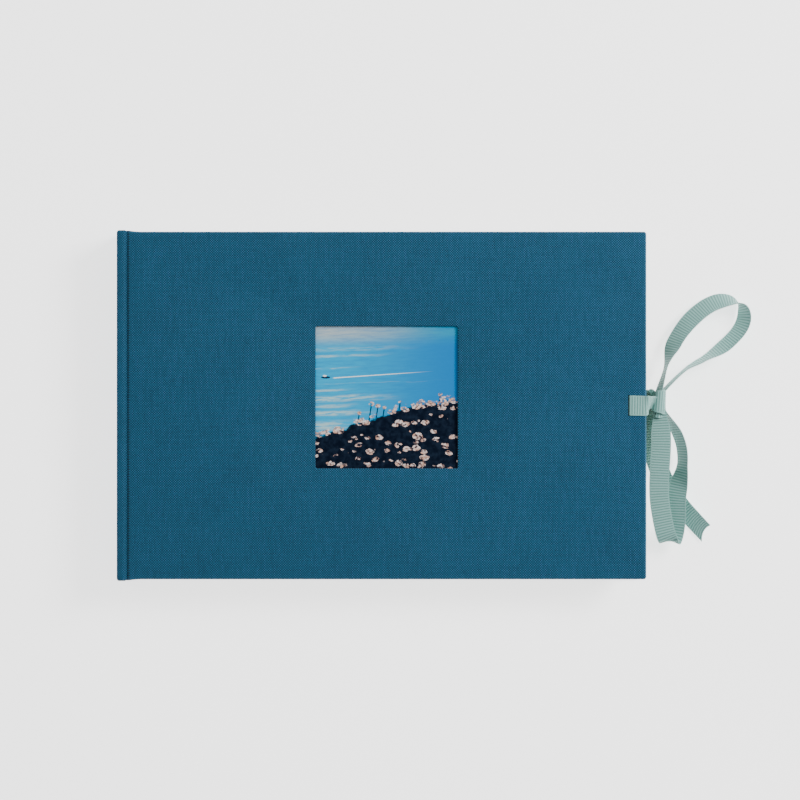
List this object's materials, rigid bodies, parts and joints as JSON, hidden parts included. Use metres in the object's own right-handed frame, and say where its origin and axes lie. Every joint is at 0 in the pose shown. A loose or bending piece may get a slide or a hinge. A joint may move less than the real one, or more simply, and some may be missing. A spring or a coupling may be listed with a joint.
{
  "type": "scrapbook album",
  "caption": "Cloth-covered landscape album with a square picture window in the front cover, card leaves, hinged spine and a ribbon tie in a bow at the fore edge.",
  "frame": {"origin": "middle of the outer face of the back cover, on the surface that the closed album lies on, the free ribbon left out", "axes": "+X from the spine towards the fore edge, +Y towards the head of the album, +Z out of the front cover"},
  "size_m": [0.2869, 0.159, 0.0224],
  "materials": {
    "cover_cloth": "plain-weave linen book cloth, petrol blue, matt",
    "greyboard": "grey binder's board",
    "lining_paper": "uncoated lining paper",
    "endpaper": "uncoated ivory endpaper",
    "page_card": "uncoated ivory card",
    "glassine": "thin translucent glassine",
    "print": "semi-gloss printed picture",
    "ribbon": "grosgrain ribbon, pale grey-green, slight sheen"
  },
  "bodies": {
    "back_cover": {"back_cover_cloth": "cover_cloth", "back_board": "greyboard", "back_infill": "lining_paper", "back_pastedown": "endpaper", "back_tie": "ribbon"},
    "spine": {"spine_board": "greyboard", "spine_cloth": "cover_cloth", "spine_lining": "lining_paper", "guard_stubs": "lining_paper"},
    "front_cover": {"front_cover_cloth": "cover_cloth", "front_board_upper": "greyboard", "front_board_base": "greyboard", "front_infill": "lining_paper", "front_pastedown": "endpaper", "window_print": "print", "front_tie": "ribbon", "bow_knot": "ribbon", "bow_upper_loop": "ribbon", "bow_lower_loop": "ribbon", "bow_tail": "ribbon"},
    "leaf_back": {"back_flyleaf": "endpaper"},
    "leaf_01": {"page_01": "page_card", "interleaf_01": "glassine"},
    "leaf_02": {"page_02": "page_card", "interleaf_02": "glassine"},
    "leaf_03": {"page_03": "page_card", "interleaf_03": "glassine"},
    "leaf_04": {"page_04": "page_card", "interleaf_04": "glassine"},
    "leaf_05": {"page_05": "page_card", "interleaf_05": "glassine"},
    "leaf_06": {"page_06": "page_card", "interleaf_06": "glassine"},
    "leaf_07": {"page_07": "page_card", "interleaf_07": "glassine"},
    "leaf_08": {"page_08": "page_card", "interleaf_08": "glassine"},
    "leaf_09": {"page_09": "page_card", "interleaf_09": "glassine"},
    "leaf_10": {"page_10": "page_card", "interleaf_10": "glassine"},
    "leaf_front": {"front_flyleaf": "endpaper"}
  },
  "joints": [
    {"name": "spine_hinge", "type": "hinge", "parent": "back_cover", "child": "spine", "pos_m": [-0.12, 0, 0], "axis": [0, -1, 0], "range_deg": [0, 90]},
    {"name": "front_hinge", "type": "hinge", "parent": "spine", "child": "front_cover", "pos_m": [-0.12, 0, 0.022], "axis": [0, -1, 0], "range_deg": [0, 90]},
    {"name": "back_flyleaf_turn", "type": "hinge", "parent": "spine", "child": "leaf_back", "pos_m": [-0.113, 0, 0.00385], "axis": [0, -1, 0], "range_deg": [-66.5, 0]},
    {"name": "page_01_turn", "type": "hinge", "parent": "spine", "child": "leaf_01", "pos_m": [-0.113, 0, 0.00515], "axis": [0, -1, 0], "range_deg": [-54.5, 0]},
    {"name": "page_02_turn", "type": "hinge", "parent": "spine", "child": "leaf_02", "pos_m": [-0.113, 0, 0.00645], "axis": [0, -1, 0], "range_deg": [-42.5, 0]},
    {"name": "page_03_turn", "type": "hinge", "parent": "spine", "child": "leaf_03", "pos_m": [-0.113, 0, 0.00775], "axis": [0, -1, 0], "range_deg": [-30.5, 0]},
    {"name": "page_04_turn", "type": "hinge", "parent": "spine", "child": "leaf_04", "pos_m": [-0.113, 0, 0.00905], "axis": [0, -1, 0], "range_deg": [-18.5, 0]},
    {"name": "page_05_turn", "type": "hinge", "parent": "spine", "child": "leaf_05", "pos_m": [-0.113, 0, 0.01035], "axis": [0, -1, 0], "range_deg": [-6.5, 0]},
    {"name": "page_06_turn", "type": "hinge", "parent": "spine", "child": "leaf_06", "pos_m": [-0.113, 0, 0.01165], "axis": [0, -1, 0], "range_deg": [0, 6.5]},
    {"name": "page_07_turn", "type": "hinge", "parent": "spine", "child": "leaf_07", "pos_m": [-0.113, 0, 0.01295], "axis": [0, -1, 0], "range_deg": [0, 18.5]},
    {"name": "page_08_turn", "type": "hinge", "parent": "spine", "child": "leaf_08", "pos_m": [-0.113, 0, 0.01425], "axis": [0, -1, 0], "range_deg": [0, 30.5]},
    {"name": "page_09_turn", "type": "hinge", "parent": "spine", "child": "leaf_09", "pos_m": [-0.113, 0, 0.01555], "axis": [0, -1, 0], "range_deg": [0, 42.5]},
    {"name": "page_10_turn", "type": "hinge", "parent": "spine", "child": "leaf_10", "pos_m": [-0.113, 0, 0.01685], "axis": [0, -1, 0], "range_deg": [0, 54.5]},
    {"name": "front_flyleaf_turn", "type": "hinge", "parent": "spine", "child": "leaf_front", "pos_m": [-0.113, 0, 0.01815], "axis": [0, -1, 0], "range_deg": [0, 66.5]}
  ],
  "couplings": [
    {"joint": "front_hinge", "follows": "spine_hinge", "ratio": 1},
    {"joint": "back_flyleaf_turn", "follows": "spine_hinge", "ratio": -0.7333},
    {"joint": "page_01_turn", "follows": "spine_hinge", "ratio": -0.6},
    {"joint": "page_02_turn", "follows": "spine_hinge", "ratio": -0.4667},
    {"joint": "page_03_turn", "follows": "spine_hinge", "ratio": -0.3333},
    {"joint": "page_04_turn", "follows": "spine_hinge", "ratio": -0.2},
    {"joint": "page_05_turn", "follows": "spine_hinge", "ratio": -0.0667},
    {"joint": "page_06_turn", "follows": "spine_hinge", "ratio": 0.0667},
    {"joint": "page_07_turn", "follows": "spine_hinge", "ratio": 0.2},
    {"joint": "page_08_turn", "follows": "spine_hinge", "ratio": 0.3333},
    {"joint": "page_09_turn", "follows": "spine_hinge", "ratio": 0.4667},
    {"joint": "page_10_turn", "follows": "spine_hinge", "ratio": 0.6},
    {"joint": "front_flyleaf_turn", "follows": "spine_hinge", "ratio": 0.7333}
  ]
}
